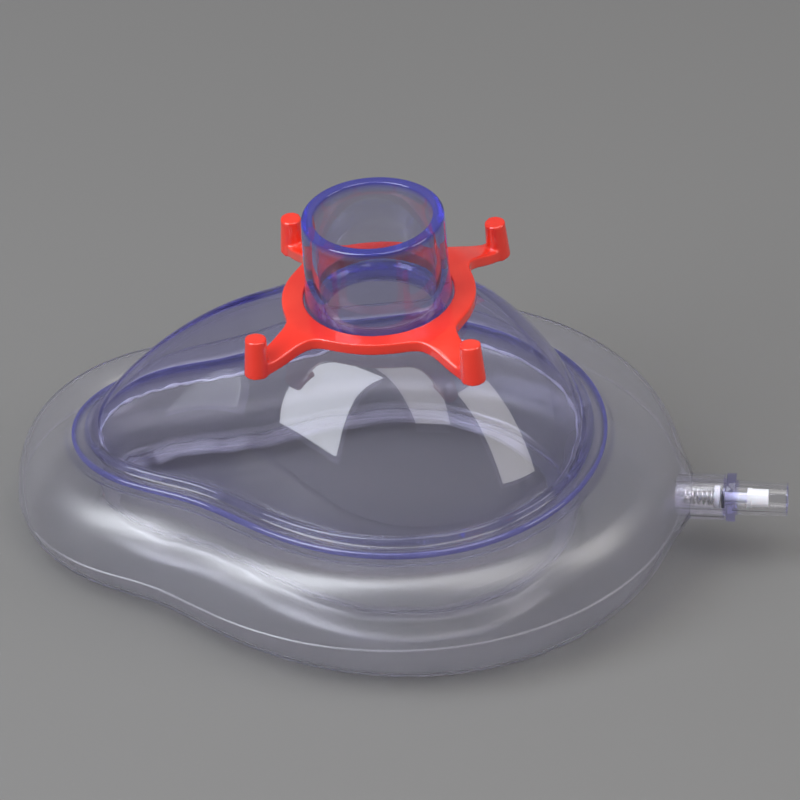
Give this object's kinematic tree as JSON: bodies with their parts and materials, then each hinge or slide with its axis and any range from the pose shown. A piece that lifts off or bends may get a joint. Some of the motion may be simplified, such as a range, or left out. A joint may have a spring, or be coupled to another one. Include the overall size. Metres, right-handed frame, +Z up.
{
  "type": "air cushion face mask",
  "caption": "Clear anaesthesia face mask with a domed body and 22 mm port, inflatable pear-shaped cushion, red head-strap hook ring and spring-loaded inflation valve.",
  "frame": {"origin": "on the plane the cushion rests on, below the middle of the object's length and width", "axes": "+X towards the chin end and the inflation valve, +Z up through the port, the port leaning 3.67 degrees towards the nose"},
  "size_m": [0.1489, 0.0994, 0.0726],
  "materials": {
    "clear_dome_plastic": "clear glossy, blue-tinted at thick edges",
    "red_hook_ring_plastic": "glossy moulded",
    "soft_cushion_film": "satin translucent film",
    "clear_valve_plastic": "clear, blue-tinted",
    "white_plunger_plastic": "satin moulded",
    "black_seal_rubber": "matt",
    "spring_steel": "bright wire"
  },
  "bodies": {
    "cushion": {"cushion_upper_skin": "soft_cushion_film", "cushion_lower_skin": "soft_cushion_film", "valve_sleeve": "soft_cushion_film", "valve_body": "clear_valve_plastic", "spring_retainer": "clear_valve_plastic", "valve_spring": "spring_steel"},
    "dome": {"mask_dome": "clear_dome_plastic"},
    "hook_ring": {"hook_ring": "red_hook_ring_plastic"},
    "plunger": {"valve_plunger": "white_plunger_plastic", "valve_seal_ring": "black_seal_rubber"}
  },
  "joints": [
    {"name": "cushion_press", "type": "slide", "parent": "cushion", "child": "dome", "axis": [0, 0, -1], "range_m": [0, 0.005], "stiffness_N_per_m": 2000, "springref_m": -0.0005, "deforming": ["cushion_upper_skin"]},
    {"name": "hook_ring_turn", "type": "hinge", "parent": "dome", "child": "hook_ring", "pos_m": [-0.00425, 0, 0.0548], "axis": [-0.064, 0, 0.9979], "continuous": true},
    {"name": "valve_plunger_press", "type": "slide", "parent": "cushion", "child": "plunger", "axis": [-0.9987, 0, -0.0519], "range_m": [0, 0.0025], "stiffness_N_per_m": 300, "springref_m": -0.002, "deforming": ["valve_spring"]}
  ]
}
